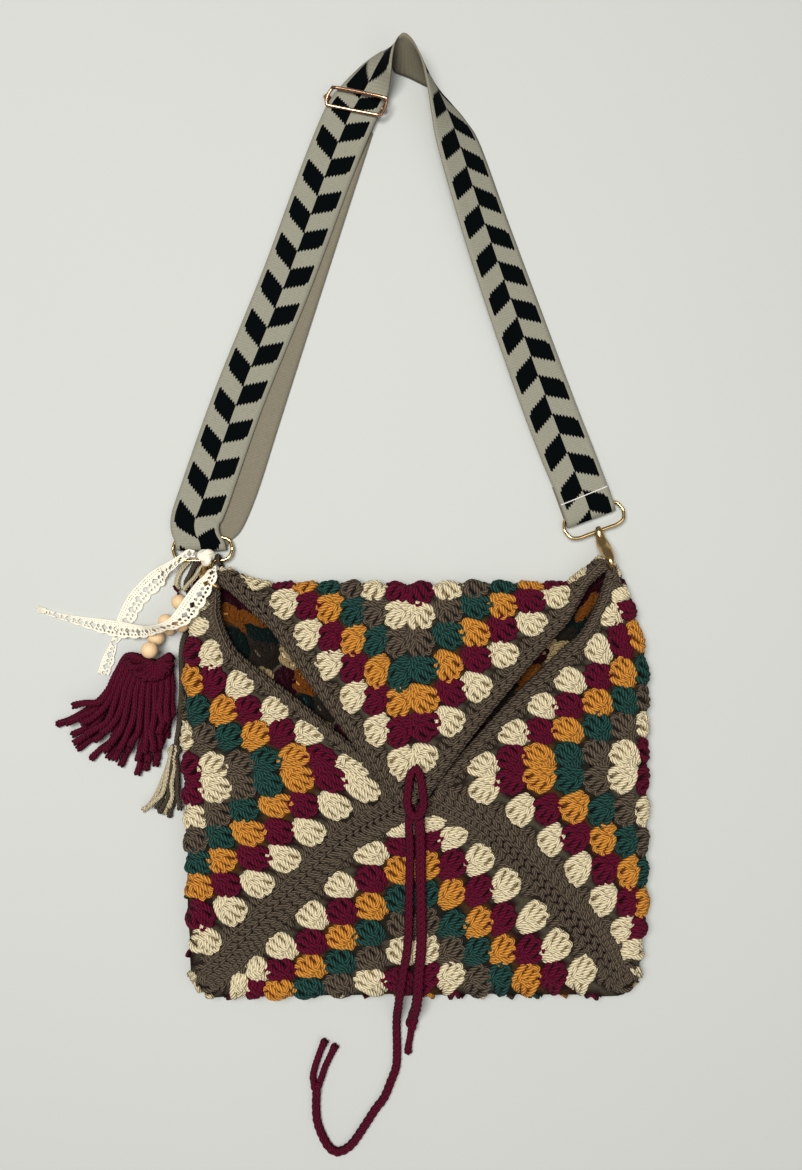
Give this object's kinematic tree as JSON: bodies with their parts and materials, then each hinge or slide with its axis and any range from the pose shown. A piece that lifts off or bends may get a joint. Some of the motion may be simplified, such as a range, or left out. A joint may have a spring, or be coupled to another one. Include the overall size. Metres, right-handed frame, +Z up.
{
  "type": "crocheted shoulder bag",
  "caption": "Crocheted granny square folded like an envelope into a shoulder bag, lying flat, with a flap tie, a patterned webbing strap on wire rings, beads, lace and yarn tassels.",
  "frame": {"origin": "on the table under the middle of the bag's back, which lies flat", "axes": "+Z up off the table through the bag's front, +Y up the bag towards its strap, +X to the right as seen from the front"},
  "size_m": [0.449, 0.8178, 0.0372],
  "materials": {
    "crochet": "bulky plied yarn in taupe, cream, cranberry, gold and teal, matte",
    "webbing": "woven webbing with a dark chevron pattern, matte",
    "gold_wire": "polished pale gold plating",
    "rose_wire": "polished rose gold plating",
    "cranberry_yarn": "plied cranberry yarn, matte",
    "cream_yarn": "plied cream yarn, matte",
    "taupe_yarn": "plied taupe yarn, matte",
    "bead_wood": "plain turned wood, unvarnished",
    "cotton_lace": "openwork cotton lace"
  },
  "bodies": {
    "root": {"bag_body": "crochet", "strap": "webbing", "slider": "rose_wire", "slider_bar": "rose_wire", "ring_left": "gold_wire", "ring_right": "gold_wire", "clasp_left": "gold_wire", "clasp_right": "gold_wire", "tie_loop": "cranberry_yarn", "tie_long": "cranberry_yarn", "tie_short": "cranberry_yarn", "tie_knot_long": "cranberry_yarn", "tie_knot_short": "cranberry_yarn", "tie_tail_a": "cranberry_yarn", "tie_tail_b": "cranberry_yarn", "tie_tail_c": "cranberry_yarn", "bead_1": "bead_wood", "bead_2": "bead_wood", "bead_3": "bead_wood", "bead_4": "bead_wood", "bead_5": "bead_wood", "bead_6": "bead_wood", "bead_cord": "cranberry_yarn", "yarn_cranberry": "cranberry_yarn", "yarn_cream": "cream_yarn", "yarn_pale": "cream_yarn", "yarn_taupe": "taupe_yarn", "tassel_small_cord": "taupe_yarn", "tassel_large": "cranberry_yarn", "tassel_small": "cream_yarn", "lace_knot": "cotton_lace", "lace_tail_a": "cotton_lace", "lace_tail_b": "cotton_lace"}
  },
  "joints": []
}
